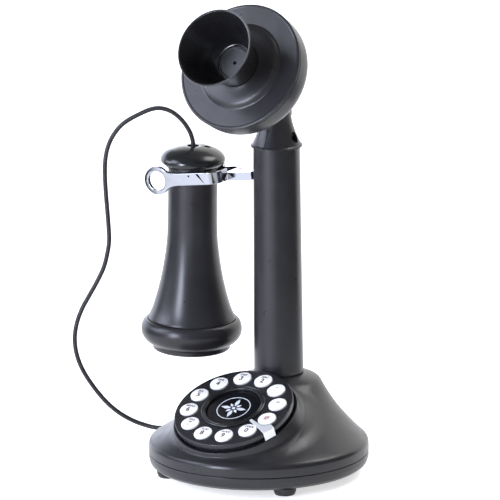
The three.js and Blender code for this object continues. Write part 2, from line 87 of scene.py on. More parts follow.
BASE = placed((base_x, 0, 0))
POST = placed((base_x, post_y, 0))
DIAL = placed(middle("centre_disc") + dial_normal * DISC_DEPTH * MM, dial_tilt)
HEAD = placed(tilt_pivot, math.atan2(-head_axis.y, head_axis.z))
HOOK = placed(hook_pivot, -HOOK_DROOP, "Y")
ear_turn = math.atan2(ear_axis.x, ear_axis.z)
RECEIVER = placed(middle("receiver_bush") + ear_axis * BUSH_DEPTH * MM, ear_turn, "Y")


# ---- camera ----
def make_camera():
    place = Vector((2.73605, -4.51766, 1.46176))
    heading, pitch, roll = rad(31.116), rad(13.947), rad(-0.614)
    level = Vector((-math.sin(heading), math.cos(heading), 0))
    right = Vector((math.cos(heading), math.sin(heading), 0))
    forward = level * math.cos(pitch) - Vector((0, 0, math.sin(pitch)))
    up = level * math.sin(pitch) + Vector((0, 0, math.cos(pitch)))
    side = right * math.cos(roll) + up * math.sin(roll)
    top = up * math.cos(roll) - right * math.sin(roll)
    data = bpy.data.cameras.new("camera")
    data.sensor_width = 36
    data.lens = 588.82
    data.clip_start, data.clip_end = 0.1, 100
    camera = bpy.data.objects.new("camera", data)
    camera.matrix_world = Matrix((
        (side.x, top.x, -forward.x, place.x),
        (side.y, top.y, -forward.y, place.y),
        (side.z, top.z, -forward.z, place.z),
        (0, 0, 0, 1),
    ))
    bpy.context.scene.collection.objects.link(camera)
    bpy.context.scene.camera = camera


# ---- procedural materials ----
NOISE_LOW, NOISE_HIGH = 0.3, 0.7        # nearly all of a noise lies between these
BUMP_STRENGTH = 0.6


class Finish:
    """Builds one node material: a base colour that drifts, a roughness that drifts and a fine grain."""

    def __init__(self, name, color, roughness, metallic=0.0):
        self.material = bpy.data.materials.new(name)
        self.material.use_nodes = True
        self.tree = self.material.node_tree
        self.shader = self.tree.nodes["Principled BSDF"]
        self.shader.inputs["Metallic"].default_value = metallic
        self.place = self.node("ShaderNodeTexCoord").outputs["Object"]
        self.color, self.roughness = color, roughness

    def node(self, kind, **inputs):
        made = self.tree.nodes.new(kind)
        for name, value in inputs.items():
            made.inputs[name.replace("_", " ")].default_value = value
        return made

    def link(self, source, target):
        self.tree.links.new(source, target)

    def noise(self, scale, detail=3.0, stretch=None):
        made = self.node("ShaderNodeTexNoise", Scale=scale, Detail=detail)
        place = self.place
        if stretch:
            mapping = self.node("ShaderNodeMapping")
            mapping.inputs["Scale"].default_value = stretch
            self.link(place, mapping.inputs["Vector"])
            place = mapping.outputs["Vector"]
        self.link(place, made.inputs["Vector"])
        return made.outputs["Fac"]

    def spread(self, source, low, high):
        made = self.node(
            "ShaderNodeMapRange", From_Min=NOISE_LOW, From_Max=NOISE_HIGH, To_Min=low, To_Max=high)
        self.link(source, made.inputs["Value"])
        return made.outputs["Result"]

    def mottle(self, amount, scale):
        """The colour drifts by amount to either side of its mean."""
        mix = self.node("ShaderNodeMix")
        mix.data_type = "RGBA"
        darker = [c * (1 - amount) for c in self.color]
        paler = [min(1.0, c * (1 + amount)) for c in self.color]
        mix.inputs[6].default_value = (*darker, 1)
        mix.inputs[7].default_value = (*paler, 1)
        self.link(self.spread(self.noise(scale), 0, 1), mix.inputs[0])
        self.link(mix.outputs[2], self.shader.inputs["Base Color"])
        return self

    def smudge(self, amount, scale, stretch=None):
        """The roughness drifts by amount to either side of its mean."""
        field = self.noise(scale, 4.0, stretch)
        low, high = max(0.02, self.roughness - amount), self.roughness + amount
        self.link(self.spread(field, low, high), self.shader.inputs["Roughness"])
        return self

    def grain(self, scale, depth, stretch=None):
        """A bump of that depth in millimetres."""
        bump = self.node("ShaderNodeBump", Strength=BUMP_STRENGTH, Distance=depth * MM)
        self.link(self.noise(scale, 2.0, stretch), bump.inputs["Height"])
        self.link(bump.outputs["Normal"], self.shader.inputs["Normal"])
        return self


def make_materials():
    made = {}

    def plain(name, color, roughness, metallic=0.0):
        made[name] = Finish(name, color, roughness, metallic)
        return made[name]

    plain("satin_shell", (0.0188, 0.0184, 0.0205), 0.31).mottle(0.12, 45).smudge(0.04, 90).grain(1900, 0.018)
    plain("gloss_trim", (0.010, 0.010, 0.011), 0.22).mottle(0.2, 60).smudge(0.04, 70).grain(700, 0.008)
    plain("dial_plastic", (0.014, 0.014, 0.017), 0.27).mottle(0.15, 60).smudge(0.05, 80).grain(1500, 0.01)
    plain("disc_gloss", (0.006, 0.006, 0.008), 0.1).mottle(0.3, 90).smudge(0.03, 120).grain(300, 0.004)
    plain("chrome_plate", (0.41, 0.425, 0.47), 0.08, 1.0).mottle(0.04, 60).smudge(0.035, 110).grain(
        260, 0.006)
    plain("satin_metal", (0.86, 0.875, 0.90), 0.33, 0.5).mottle(0.04, 90).smudge(0.05, 160).grain(700, 0.01)
    plain("black_steel", (0.02, 0.02, 0.022), 0.4, 0.6).mottle(0.2, 200).smudge(0.08, 300).grain(900, 0.01)
    plain("steel", (0.50, 0.51, 0.53), 0.32, 1.0).mottle(0.1, 200).smudge(0.08, 300, (1, 1, 9)).grain(
        900, 0.01, (1, 1, 9))
    plain("white_key", (0.90, 0.90, 0.89), 0.3).mottle(0.025, 120).smudge(0.05, 150).grain(1200, 0.008)
    plain("black_rubber", (0.012, 0.012, 0.013), 0.55).mottle(0.25, 200).smudge(0.1, 300).grain(2600, 0.03)
    plain("grey_rubber", (0.42, 0.43, 0.45), 0.6).mottle(0.06, 150).smudge(0.08, 200).grain(2000, 0.02)
    plain("circuit_board", (0.03, 0.13, 0.05), 0.4).mottle(0.5, 420).smudge(0.1, 300).grain(500, 0.05)
    plain("silver_print", (0.62, 0.67, 0.72), 0.35).mottle(0.05, 200).smudge(0.05, 200).grain(1500, 0.01)
    plain("key_ink", (0.045, 0.012, 0.016), 0.45).mottle(0.4, 900).smudge(0.1, 400).grain(1500, 0.01)
    plain("hash_ink", (0.33, 0.02, 0.03), 0.45).mottle(0.3, 900).smudge(0.1, 400).grain(1500, 0.01)
    plain("cord_braid", (0.012, 0.012, 0.014), 0.6).mottle(0.9, 1500).smudge(0.15, 900).grain(1700, 0.25)
    for finish in made.values():
        finish.material.diffuse_color = (*finish.color, 1)
    made["key_ink"].shader.inputs["Specular IOR Level"].default_value = 0.2
    made["satin_shell"].shader.inputs["Specular IOR Level"].default_value = 0.38
    return {name: finish.material for name, finish in made.items()}


# ---- mesh tools ----
def rounded(corners, closed=False, step=rad(7)):
    """The points of an outline of [x, y, radius of the corner]; a radius of 0 or none leaves it sharp."""
    points = [Vector(corner[:2]) for corner in corners]
    radii = [corner[2] if len(corner) > 2 else 0 for corner in corners]
    count = len(points)
    outline = []
    for i, (corner, radius) in enumerate(zip(points, radii)):
        at_end = not closed and i in (0, count - 1)
        back, ahead = points[i - 1] - corner, points[(i + 1) % count] - corner
        if radius == 0 or at_end or math.pi - back.angle(ahead) < rad(0.5):
            outline.append(corner)
            continue
        turn = math.pi - back.angle(ahead)
        wanted = radius * math.tan(turn / 2)
        room_back = back.length * (0.5 if radii[i - 1] else 0.98)
        room_ahead = ahead.length * (0.5 if radii[(i + 1) % count] else 0.98)
        if radius < SOFT:
            wanted = min(wanted, room_back, room_ahead)
        start = corner + back.normalized() * min(wanted, room_back)
        end = corner + ahead.normalized() * min(wanted, room_ahead)
        steps = max(2, math.ceil(turn / step))
        for k in range(steps + 1):
            s = k / steps
            outline.append(start * (1 - s) ** 2 + corner * (2 * s * (1 - s)) + end * s ** 2)
    kept = [outline[0]]
    for point in outline[1:]:
        if (point - kept[-1]).length > 1e-4:
            kept.append(point)
    if closed and (kept[0] - kept[-1]).length < 1e-4:
        kept.pop()
    return [(point.x, point.y) for point in kept]


def stitched(rings, closed=False):
    """Faces between rings of vertex numbers; a ring of one vertex repeated is a pole."""
    faces = []
    pairs = list(zip(rings, rings[1:])) + ([(rings[-1], rings[0])] if closed else [])
    for lower, upper in pairs:
        for i in range(len(lower)):
            j = (i + 1) % len(lower)
            face = list(dict.fromkeys((lower[i], lower[j], upper[j], upper[i])))
            if len(face) > 2:
                faces.append(face)
    return faces


def lathe(corners, sides=128, closed=False):
    """A profile of [radius, height, softness] turned round Z, its outside rising and its inside falling."""
    vertices, rings = [], []
    for radius, height in rounded(corners, closed):
        first = len(vertices)
        if radius < 1e-6:
            vertices.append((0, 0, height))
            rings.append([first] * sides)
            continue
        for i in range(sides):
            angle = math.tau * i / sides
            vertices.append((radius * math.cos(angle), radius * math.sin(angle), height))
        rings.append(list(range(first, first + sides)))
    return vertices, stitched(rings, closed)


def circle(radius, sides=64, x=0.0, y=0.0, clockwise=False):
    way = -1 if clockwise else 1
    angles = [way * math.tau * i / sides for i in range(sides)]
    return [(x + radius * math.cos(angle), y + radius * math.sin(angle)) for angle in angles]


def inset(outline, amount):
    """The outline moved to its left by amount: inwards on an anticlockwise one."""
    points = [Vector(point) for point in outline]
    shifted = []
    for i, point in enumerate(points):
        before = (point - points[i - 1]).normalized()
        after = (points[(i + 1) % len(points)] - point).normalized()
        along = (before + after).normalized()
        left = Vector((-along.y, along.x))
        stretch = 1 / max(0.5, left.dot(Vector((-after.y, after.x))))
        shifted.append(tuple(point + left * amount * stretch))
    return shifted


def capped(vertices, loops, upward):
    """Triangles that close a flat face with holes, facing up or down."""
    numbers = [number for loop in loops for number in loop]
    faces = []
    for triangle in tessellate_polygon([[Vector(vertices[n]) for n in loop] for loop in loops]):
        a, b, c = (numbers[k] for k in triangle)
        corner = Vector(vertices[a])
        normal = (Vector(vertices[b]) - corner).cross(Vector(vertices[c]) - corner)
        faces.append([a, b, c] if (normal.z > 0) == upward else [a, c, b])
    return faces


def slab(outlines, low, high, edge=0.3, steps=4):
    """A flat plate from low to high with its edges rounded: the outside anticlockwise, holes clockwise."""
    quarter = [math.pi / 2 * k / steps for k in range(steps + 1)]
    levels = [(edge * (1 - math.sin(a)), low + edge * (1 - math.cos(a))) for a in quarter]
    levels += [(edge * (1 - math.cos(a)), high - edge * (1 - math.sin(a))) for a in quarter]
    vertices, faces, caps = [], [], {0: [], len(levels) - 1: []}
    for outline in outlines:
        rings = []
        for i, (amount, height) in enumerate(levels):
            first = len(vertices)
            vertices += [(x, y, height) for x, y in inset(outline, amount)]
            rings.append(list(range(first, first + len(outline))))
            if i in caps:
                caps[i].append(rings[-1])
        faces += stitched(rings)
    for level, loops in caps.items():
        faces += capped(vertices, loops, level > 0)
    return vertices, faces


def moved(shape, matrix):
    vertices, faces = shape
    return [tuple(matrix @ Vector(v)) for v in vertices], faces


def together(*shapes):
    vertices, faces = [], []
    for more, their in shapes:
        first = len(vertices)
        vertices += more
        faces += [[first + n for n in face] for face in their]
    return vertices, faces


def block(x0, x1, y0, y1, z0, z1, edge=0.3):
    outline = rounded([(x0, y0, edge), (x1, y0, edge), (x1, y1, edge), (x0, y1, edge)], True)
    return slab([outline], z0, z1, edge)


def rod(radius, low, high, sides=48, edge=0.0):
    return lathe([(0, low), (radius, low, edge), (radius, high, edge), (0, high)], sides)


def cross_drive(half, width, low, high):
    """The two cuts of a screw head's cross, half as long and half as wide as given."""
    one = block(-half, half, -width, width, low, high, 0.05)
    other = block(-width, width, -half, half, low, high, 0.05)
    return one, other


TO_X = Matrix.Rotation(rad(90), 4, "Y")          # carries Z to +X
TO_Y = Matrix.Rotation(rad(-90), 4, "X")         # carries Z to +Y
SIDEWAYS = Matrix.Rotation(rad(90), 4, "X")      # carries Y to Z, so an outline stands in the XZ plane


def loose(name, shape, place):
    """A plain mesh object in the row frame."""
    vertices, faces = shape
    mesh = bpy.data.meshes.new(name)
    mesh.from_pydata([place @ Vector(v) for v in vertices], [], faces)
    mesh.update()
    made = bpy.data.objects.new(name, mesh)
    bpy.context.scene.collection.objects.link(made)
    return made


def bake(piece):
    """Applies a piece's modifiers to its mesh."""
    graph = bpy.context.evaluated_depsgraph_get()
    mesh = bpy.data.meshes.new_from_object(piece.evaluated_get(graph))
    piece.modifiers.clear()
    old, piece.data = piece.data, mesh
    bpy.data.meshes.remove(old)


def combine(piece, shapes, place, operation):
    """Cuts shapes from a piece or joins them to it."""
    others = [loose("tool", shape, place) for shape in shapes]
    for other in others:
        modifier = piece.modifiers.new("combine", "BOOLEAN")
        modifier.operation, modifier.solver, modifier.object = operation, "EXACT", other
    bake(piece)
    for other in others:
        bpy.data.objects.remove(other)


def cut(piece, place, *shapes):
    combine(piece, shapes, place, "DIFFERENCE")


def join(piece, place, *shapes):
    combine(piece, shapes, place, "UNION")


def settle(piece, body, finish, *nodes, slot=None, crease=35):
    """Gives a piece its material, its shading and its body, and hides the CAD nodes it stands for."""
    piece.data.materials.clear()
    piece.data.materials.append(materials[finish])
    piece.data.shade_smooth()
    piece.data.set_sharp_from_angle(angle=rad(crease))
    weighted = piece.modifiers.new("even_normals", "WEIGHTED_NORMAL")
    weighted.keep_sharp = True
    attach(piece, body)
    if nodes:
        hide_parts(*nodes)
    return piece


def turned_piece(node, corners, place, body, finish, closed=True, sides=128):
    return settle(loose("fine_" + node, lathe(corners, sides, closed), place), body, finish, node)


# ---- cord: one smooth curve from the receiver's cap to the side of the base ----
CORD_TURN = rad(30.9)           # the loop hangs in an upright plane turned this far from +X
CORD_DIAMETER = 3.0
# [along the loop, out of the loop's plane, height] from the middle of the base
CORD_ROUTE = [
    (-42.1, 56.7, 202.9), (-41.9, 56.7, 208), (-42.2, 56.7, 213.5), (-43.6, 56.7, 218.6),
    (-46, 56.7, 223.3), (-49.3, 56.7, 227.9), (-53.3, 56.7, 231.8), (-57.6, 56.7, 234.5),
    (-62.4, 56.7, 236), (-67.2, 56.7, 236.1), (-72.5, 56.7, 234.6), (-78.2, 56.7, 232),
    (-84.6, 56.7, 228.6), (-90, 56.7, 224.6), (-94.5, 56.7, 219.2), (-97.8, 56.7, 213.2),
    (-100, 56.7, 206.5), (-101.1, 56.7, 199), (-101.3, 56.7, 189), (-100.8, 56.7, 177),
    (-100, 56.7, 165), (-99.3, 56.7, 153), (-99.2, 56.7, 145), (-100.4, 56.7, 137),
    (-103, 56.7, 127), (-107.6, 56.7, 117.2), (-113, 56.7, 107.5), (-118.2, 56.7, 98),
    (-121.8, 56.7, 88), (-123.3, 56.7, 77.5), (-122.2, 56.7, 67), (-118.6, 56.7, 56.5),
    (-112.2, 56.7, 45.5), (-104, 56.5, 34.8), (-95.5, 56.2, 26.8), (-86, 56, 20.8),
    (-76.8, 55.4, 17.2), (-69.5, 53.4, 15.9), (-64.2, 50.7, 16.6), (-59.8, 47.1, 18.2),
]


def smooth_route(points, per_step):
    """Points along a Catmull-Rom curve through the given ones."""
    ends = [points[0] * 2 - points[1]] + points + [points[-1] * 2 - points[-2]]
    route = []
    for a, b, c, d in zip(ends, ends[1:], ends[2:], ends[3:]):
        for k in range(per_step):
            s = k / per_step
            bend = (a * 2 - b * 5 + c * 4 - d) * s ** 2 + (b * 3 - a - c * 3 + d) * s ** 3
            route.append((b * 2 + (c - a) * s + bend) / 2)
    return route + [points[-1]]


def swept(route, radius, sides):
    """A round tube along a route, with flat ends, its section carried along without twisting."""
    vertices, rings = [], []
    side = Vector((0, 0, 1)).cross(route[1] - route[0])
    side = side.normalized() if side.length > 1e-6 else Vector((1, 0, 0))
    for i, point in enumerate(route):
        ahead = (route[min(i + 1, len(route) - 1)] - route[max(i - 1, 0)]).normalized()
        side = (side - ahead * side.dot(ahead)).normalized()
        other = ahead.cross(side)
        first = len(vertices)
        for k in range(sides):
            angle = math.tau * k / sides
            vertices.append(tuple(point + (side * math.cos(angle) + other * math.sin(angle)) * radius))
        rings.append(list(range(first, first + sides)))
    faces = stitched(rings)
    faces.append(list(reversed(rings[0])))
    faces.append(rings[-1])
    return vertices, faces


def make_cord():
    along = Vector((math.cos(CORD_TURN), math.sin(CORD_TURN), 0))
    away = Vector((-along.y, along.x, 0))
    points = [along * u + away * w + Vector((0, 0, z)) for u, w, z in CORD_ROUTE]
    route = smooth_route(points, 6)
    cord = loose("cord_of_receiver", swept(route, CORD_DIAMETER / 2, 20), BASE)
    cord.data.materials.append(materials["cord_braid"])
    cord.data.shade_smooth()
    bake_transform(cord)
    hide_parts("receiver_cord")


# ---- base shell: a flared moulding that runs smoothly into the dial's pod ----
BASE_SIDES = 288                # points round it
SHELL_STEPS = 110               # rings between the pod's rim and the skirt
BASE_RADIUS = 73.5
SKIRT = [                       # [height, radius, how far back its centre lies]
    (10, BASE_RADIUS, 0), (17, BASE_RADIUS, 0), (20.4, BASE_RADIUS, 0), (22.7, 72.5, 0),
    (24.6, 69.8, 0.6), (28, 64.6, 3.2),
    (31.4, 59.4, 6), (38.3, 49.3, 12), (43.9, 41.9, 17), (50.1, 34.8, 22), (55.3, 30.2, 25),
    (58.3, 27.4, 26.6), (60.2, 23.6, 27), (61.6, 19.5, 27), (62.3, 17.6, 27),
]
CROWN_TOP = 62.3
POD_TOP = -6.0
POD_RIM = 42.2
POD_SPREAD = 0.258              # how fast the pod widens downwards
RIM_ROUND = 0.8
LEDGE_INNER, LEDGE_OUTER, LEDGE_TOP = 34, 41, -9.7     # the recess that takes the number plate's lip
SHELL_WALL = 2.6
PARTING = 14.6                  # height of the line between shell and base plate
JACK_HALF = 7
JACK_SPACE = JACK_HALF + 0.3    # half of the opening that the line jack stands in
# From the base's frame to the cord's hole, whose Z points outwards.
CORD_HOLE = Matrix.Translation((0, 0, 18.2)) @ Matrix.Rotation(rad(172.6), 4, "Z") @ TO_X


def mix_lowest(a, b, reach):
    """The lower of two fields, blended smoothly where they are within reach of each other."""
    share = np.clip(0.5 + 0.5 * (b - a) / reach, 0, 1)
    return b * (1 - share) + a * share - reach * share * (1 - share)


def make_shell_field():
    """A field that is negative inside the shell's outer surface, in the base's frame."""
    heights, radii = np.array(rounded([(z, r, SOFT) for z, r, _ in SKIRT])).T
    back_heights, backs = np.array(rounded([(z, y, SOFT) for z, _, y in SKIRT])).T
    into_dial = np.array(DIAL.inverted() @ BASE)

    def field(points):
        x, y, z = points.T
        radius = np.interp(z, heights, radii)
        centre = np.interp(z, back_heights, backs)
        skirt = (np.hypot(x, y - centre) - radius) * 0.6
        skirt = -mix_lowest(-skirt, -(z - CROWN_TOP), 1.2)
        u, v, w = (points @ into_dial[:3, :3].T + into_dial[:3, 3]).T
        below = POD_TOP - w
        pod = (np.hypot(u, v) - POD_RIM - POD_SPREAD * below) * 0.97
        reach = np.clip((below - RIM_ROUND) * 0.9, 0.01, 9)
        return mix_lowest(skirt, pod, reach)

    return field


def cast(field, centre, aims):
    """Where rays from centre through aims leave the field's inside."""
    ways = aims - centre
    near, far = np.full(len(ways), 0.2), np.full(len(ways), 4.0)
    for _ in range(34):
        half = (near + far) / 2
        inside = field(centre + ways * half[:, None]) < 0
        near, far = np.where(inside, half, near), np.where(inside, far, half)
    return centre + ways * far[:, None]


def make_base_shell():
    field = make_shell_field()
    angles = np.arange(BASE_SIDES) * math.tau / BASE_SIDES
    turn = np.stack([np.cos(angles), np.sin(angles)], 1)
    from_dial = BASE.inverted() @ DIAL

    def dial_ring(radius, height):
        return [from_dial @ Vector((radius * c, radius * s, height)) for c, s in turn]

    def base_ring(radius, height):
        return [Vector((radius * c, radius * s, height)) for c, s in turn]

    rim_foot = POD_RIM + POD_SPREAD * RIM_ROUND
    rim = rounded([
        (LEDGE_INNER, LEDGE_TOP - 2), (LEDGE_INNER, LEDGE_TOP, 0.2), (LEDGE_OUTER, LEDGE_TOP),
        (LEDGE_OUTER, POD_TOP, 0.2), (POD_RIM, POD_TOP, 0.5), (rim_foot, POD_TOP - RIM_ROUND),
    ])
    rings = [dial_ring(radius, height) for radius, height in rim]
    centre = np.array(from_dial @ Vector((0, 0, -45)))
    start, end = np.array(rings[-1]), np.array(base_ring(BASE_RADIUS, 20.0))
    inner = []
    for k in range(1, SHELL_STEPS + 1):
        share = k / SHELL_STEPS
        hit = cast(field, centre, start * (1 - share) + end * share)
        rings.append([Vector(p) for p in hit])
        if k > 12 and k % 5 == 0:
            reach = np.linalg.norm(hit - centre, axis=1, keepdims=True)
            inner.append([Vector(p) for p in centre + (hit - centre) * (1 - SHELL_WALL * 1.25 / reach)])
    rings += [base_ring(radius, height) for radius, height in rounded([
        (BASE_RADIUS, 18), (BASE_RADIUS - 0.05, PARTING, 0.5), (70.7, PARTING, 0.3), (70.7, 17),
    ])]
    rings += reversed(inner)
    vertices = [tuple(point) for ring in rings for point in ring]
    numbers = [list(range(i * BASE_SIDES, (i + 1) * BASE_SIDES)) for i in range(len(rings))]
    faces = stitched(numbers, closed=True)
    faces = [list(reversed(face)) for face in faces]
    shell = loose("fine_base_shell", (vertices, faces), BASE)
    cut(shell, BASE, block(-JACK_SPACE, JACK_SPACE, 55, 80, 5, 21.5), moved(rod(2.6, 62, 90), CORD_HOLE))
    settle(shell, "stand", "satin_shell", "base_shell", crease=40)


SCREW_REACH = 56                # from the middle of the base to a screw
SCREW_ANGLES = [20, 160, 200, 340]


def screw_places():
    return [(SCREW_REACH * math.cos(rad(a)), SCREW_REACH * math.sin(rad(a))) for a in SCREW_ANGLES]


def make_base_plate():
    plate = loose("fine_base_plate", lathe([
        (0, 5.4), (69.6, 5.4, 1.6), (72.4, 7.6, 3), (73.4, 11, 3), (73.45, 14.3, 0.5), (69.4, 14.3),
        (69.4, 15.6), (67.4, 15.6), (67.4, 8.2, 1), (0, 8.2),
    ], BASE_SIDES), BASE)
    holes = [moved(rod(3.6, 0, 9, 40), Matrix.Translation((x, y, 0))) for x, y in screw_places()]
    cut(plate, BASE, block(-JACK_SPACE, JACK_SPACE, 55, 80, 3, 30), *holes)
    settle(plate, "stand", "satin_shell", "base_plate")
    for i, (x, y) in enumerate(screw_places()):
        name = f"base_screw_{i + 1}"
        place = BASE @ Matrix.Translation((x, y, 0))
        screw = loose("fine_" + name, lathe([
            (0, 6.2), (3.1, 6.2, 0.6), (3.1, 8.7), (1.4, 8.7), (1.4, 26), (0, 26),
        ], 40), place)
        cut(screw, place, *cross_drive(2, 0.4, 5, 7.2))
        settle(screw, "stand", "steel", name)


def make_feet():
    for i in range(4):
        node = f"foot_{i + 1}"
        low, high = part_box(node)
        place = placed(((low[0] + high[0]) / 2, (low[1] + high[1]) / 2, 0))
        radius = (high[0] - low[0]) / 2 / MM
        turned_piece(node, [
            (0, 0), (radius - 1.2, 0, 1.1), (radius - 0.2, 2.4, 2), (radius, 5.1, 0.2), (0, 5.1),
        ], place, "stand", "black_rubber", closed=False, sides=64)


def make_base_fittings():
    socket = loose("fine_line_jack", block(-JACK_HALF, JACK_HALF, 57, 71.8, 10.6, 21.2, 0.4), BASE)
    mouth = block(-4.9, 4.9, 60.8, 80, 12.6, 19.2, 0.1)
    notch = block(-2, 2, 60.8, 80, 18, 20.4, 0.1)
    cut(socket, BASE, mouth, notch)
    contacts = [block(x - 0.25, x + 0.25, 61.2, 70, 13.6, 14, 0.05) for x in (-1.5, -0.5, 0.5, 1.5)]
    settle(socket, "stand", "dial_plastic", "line_jack")
    settle(loose("line_jack_contacts", together(*contacts), BASE), "stand", "steel")
    turned_piece("cord_grommet", [
        (0, 66), (2.3, 66), (2.3, 73.6, 0.2), (3.5, 73.8, 0.5), (2.6, 75, 0.6), (0, 75),
    ], BASE @ CORD_HOLE, "stand", "black_rubber", closed=False, sides=48)


# ---- dial ----
KEY_CIRCLE = 30.8
KEY_RADIUS = 6.2
KEY_HOLE = KEY_RADIUS + 0.35
KEY_TOP, KEY_EDGE = 1.5, 0.75   # height of a key's middle and edge above the dial's face
PRINT_LIFT = 0.04               # of the characters above a key
KEY_NAMES = ["1", "2", "3", "4", "5", "6", "7", "8", "9", "0", "hash", "star"]
KEY_LETTERS = {"2": "ABC", "3": "DEF", "4": "GHI", "5": "JKL", "6": "MNO", "7": "PRS", "8": "TUV", "9": "WXY",
               "0": "OPER"}
FIRST_KEY = rad(46.7)


def key_place(i):
    angle = FIRST_KEY + rad(30) * i
    return KEY_CIRCLE * math.cos(angle), KEY_CIRCLE * math.sin(angle)


def make_number_plate():
    """A round plate with a lip under its rim and twelve holes with rounded edges."""
    sides = 192
    edge, depth, top_radius = 0.3, 2.2, 38.9
    quarter = [math.pi / 2 * k / 4 for k in range(5)]
    vertices, faces = [], []
    top_loops, under_loops = [], []

    def add_ring(outline, height):
        first = len(vertices)
        vertices.extend((x, y, height) for x, y in outline)
        return list(range(first, first + len(outline)))

    for i in range(len(KEY_NAMES)):
        x, y = key_place(i)
        levels = [(KEY_HOLE + edge * (1 - math.sin(a)), -edge * (1 - math.cos(a))) for a in quarter]
        levels.append((KEY_HOLE, -depth))
        rings = [add_ring(circle(radius, 48, x, y, True), height) for radius, height in levels]
        faces.extend([list(reversed(face)) for face in stitched(rings)])
        top_loops.append(rings[0])
        under_loops.append(rings[-1])
    outside = rounded([
        (20.4, 0), (top_radius, 0), (40.5, -0.4, 0.7), (40.5, -3.7, 0.25), (39.1, -3.7), (39.1, -9.4),
        (38.1, -9.4), (38.1, -depth), (20.4, -depth),
    ])
    rings = [add_ring(circle(radius, sides), height) for radius, height in outside]
    faces.extend([list(reversed(face)) for face in stitched(rings[1:-1])])
    faces.extend([list(reversed(face)) for face in stitched([rings[-1], rings[0]])])
    top_loops += [rings[1], rings[0]]
    under_loops += [rings[-2], rings[-1]]
    faces += capped(vertices, top_loops, True) + capped(vertices, under_loops, False)
    plate = loose("fine_number_plate", (vertices, faces), DIAL)
    settle(plate, "stand", "dial_plastic", "number_plate")


def key_dome(x, y):
    return KEY_TOP - (KEY_TOP - KEY_EDGE) * (x * x + y * y) / KEY_RADIUS ** 2


def make_text(words, size):
    """The flat points and faces of printed characters, centred on the origin."""
    curve = bpy.data.curves.new("text", "FONT")
    curve.body = words
    curve.size = size
    curve.align_x, curve.align_y = "CENTER", "CENTER"
    curve.resolution_u = 3
    curve.offset = 0.03 * size
    source = bpy.data.objects.new("text", curve)
    bpy.context.scene.collection.objects.link(source)
    bpy.context.view_layer.update()
    graph = bpy.context.evaluated_depsgraph_get()
    mesh = bpy.data.meshes.new_from_object(source.evaluated_get(graph))
    flat = [(v.co.x, v.co.y) for v in mesh.vertices]
    faces = [list(p.vertices) for p in mesh.polygons]
    bpy.data.objects.remove(source)
    bpy.data.meshes.remove(mesh)
    return flat, faces


def make_keys():
    for i, name in enumerate(KEY_NAMES):
        x, y = key_place(i)
        body = "key_" + name
        place = DIAL @ Matrix.Translation((x, y, 0))
        key = [(0, -4.5), (3.2, -4.5), (3.2, -3.5), (7, -3.5, 0.1), (7, -2.5, 0.1), (KEY_RADIUS, -2.5, 0.1),
               (KEY_RADIUS, KEY_EDGE, 0.4)]
        crown = [(KEY_RADIUS * s, key_dome(KEY_RADIUS * s, 0)) for s in (0.94, 0.8, 0.6, 0.4, 0.2, 0)]
        turned_piece("button_" + name, key + crown, place, body, "white_key", closed=False, sides=72)
        mark = {"hash": "#", "star": "*"}.get(name, name)
        letters = KEY_LETTERS.get(name)
        rows = [(mark, 5.4, -1.2 if letters else 0)]        # [characters, their size, how far up]
        if letters:
            rows.append((letters, 2.8, 2.8))
        if name == "star":
            rows = [(mark, 6.5, -1.2)]
        parts = []
        for words, size, rise in rows:
            flat, faces = make_text(words, size)
            points = [(u, v + rise) for u, v in flat]
            parts.append(([(u, v, key_dome(u, v) + PRINT_LIFT) for u, v in points], faces))
        ink = loose("print_" + name, together(*parts), place)
        settle(ink, body, "hash_ink" if name == "hash" else "key_ink", slot="white_key")


DISC_TOP = -0.8


def foil(*outlines):
    """A thin silver print on the centre disc."""
    return slab(outlines, DISC_TOP + 0.02, DISC_TOP + 0.1, 0.03, 1)


def make_centre():
    bezel = turned_piece("centre_bezel", [
        (18.6, -2.1), (20, -2.1), (20, 0.3), (21.9, 0.3, 0.1), (21.9, 1.0, 0.6), (21.1, 1.5, 0.5),
        (20.3, 1.0, 0.5), (19.7, 1.5, 0.5), (18.9, 1.2, 0.5), (18.6, 0.4, 0.3),
    ], DIAL, "stand", "dial_plastic")
    bezel.data.materials[0] = materials["gloss_trim"]
    disc = turned_piece("centre_disc", [
        (0, -4.6), (18.2, -4.6, 0.2), (18.2, DISC_TOP, 0.5), (0, DISC_TOP),
    ], DIAL, "stand", "gloss_trim", closed=False)
    disc.data.materials[0] = materials["disc_gloss"]
    petals = []
    for k in range(8):
        long = k % 2 == 0
        reach, width = (9.6, 1.9) if long else (6.0, 1.3)
        petal = rounded([(1.9, 0, 0.05), (reach * 0.55, -width, SOFT), (reach, 0, 0.05),
                         (reach * 0.55, width, SOFT)], True)
        spin = Matrix.Rotation(math.tau * k / 8, 4, "Z")
        petals.append(moved(foil(petal), spin))
    ring = foil(circle(11.6, 96), circle(11.0, 96, clockwise=True))
    hub = foil(circle(1.2, 32))
    settle(loose("centre_rosette", together(*petals, ring, hub), DIAL), "stand", "silver_print",
           slot="chrome_plate")


def make_finger_stop():
    turn = Matrix.Rotation(rad(-28.7), 4, "Z")
    blade = rounded([
        (22.5, -1.3, 0.6), (22.5, 0.7, 0.6), (32.8, 1.1, SOFT), (36.4, 2.0, SOFT), (37.7, 6.2, 0.5),
        (41.6, 5.9), (41.6, -2.6), (36, -1.7, SOFT),
    ], True)
    blade.reverse()
    piece = loose("fine_finger_stop", moved(slab([blade], 0.32, 1.3, 0.18, 3), turn), DIAL)
    fold = rounded([(40.9, 0.32), (41.1, 0.32, 0.3), (41.2, -0.2, 0.3), (41.25, -5.6, 0.3), (42.2, -5.6, 0.3),
                    (42.15, 1.3, 0.9), (40.9, 1.3)], True)
    tab = moved(slab([fold], -5.8, 2.5, 0.2, 3), SIDEWAYS)
    join(piece, DIAL @ turn, tab)
    settle(piece, "stand", "satin_metal", "finger_stop", slot="chrome_plate")


